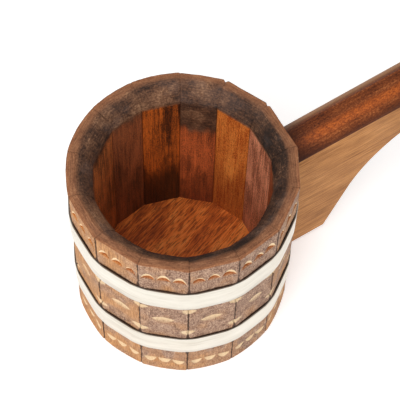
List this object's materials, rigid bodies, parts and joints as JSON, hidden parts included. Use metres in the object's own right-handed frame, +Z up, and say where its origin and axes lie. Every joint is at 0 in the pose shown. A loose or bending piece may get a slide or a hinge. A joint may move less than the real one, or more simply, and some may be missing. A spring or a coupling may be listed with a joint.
{
  "type": "coopered ladle cup",
  "caption": "Wooden ladle cup of flat staves round a floor board, held by steel hoops, with an upward-tilted board handle on its widest stave.",
  "frame": {"origin": "centre of the cup's base, on the plane that the cup stands on", "axes": "+Z up along the cup's axis, +X out along the handle, +Y to the left of the handle when looking outwards from the cup"},
  "size_m": [0.4009, 0.1388, 0.1661],
  "materials": {
    "stave_wood": "burnt, brushed and oiled, pale where carved",
    "floor_wood": "oiled, dark grain streaks",
    "handle_wood": "planed, with a burnt and oiled top",
    "dowel_wood": "plain beech",
    "hoop_steel": "bright strip, faintly streaked"
  },
  "bodies": {
    "root": {"handle_stave": "stave_wood", "stave_01": "stave_wood", "stave_02": "stave_wood", "stave_03": "stave_wood", "stave_04": "stave_wood", "stave_05": "stave_wood", "stave_06": "stave_wood", "stave_07": "stave_wood", "stave_08": "stave_wood", "stave_09": "stave_wood", "stave_10": "stave_wood", "stave_11": "stave_wood", "stave_12": "stave_wood", "stave_13": "stave_wood", "floor_board": "floor_wood", "upper_hoop": "hoop_steel", "lower_hoop": "hoop_steel", "hoop_rivets": "hoop_steel", "handle": "handle_wood", "handle_dowels": "dowel_wood"}
  },
  "joints": []
}
